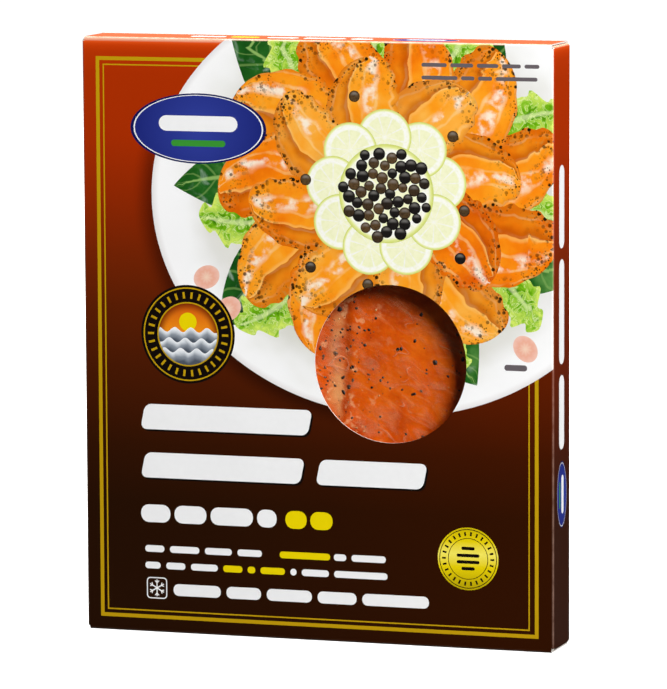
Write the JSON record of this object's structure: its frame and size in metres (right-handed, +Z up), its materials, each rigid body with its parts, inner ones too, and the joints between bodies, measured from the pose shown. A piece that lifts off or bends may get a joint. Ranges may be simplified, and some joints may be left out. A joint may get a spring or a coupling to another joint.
{
  "type": "pack of smoked salmon",
  "caption": "Flat upright folding carton with a round window that shows vacuum-packed slices of peppered smoked salmon.",
  "frame": {"origin": "middle of the carton's base, on the surface it stands on", "axes": "+Z up along the height, +X to the right along the width, +Y from the windowed front panel to the back"},
  "size_m": [0.18, 0.021, 0.22],
  "materials": {
    "printed_board": "satin",
    "packed_fish": "gloss"
  },
  "bodies": {
    "root": {"carton": "printed_board", "salmon": "packed_fish"}
  },
  "joints": []
}
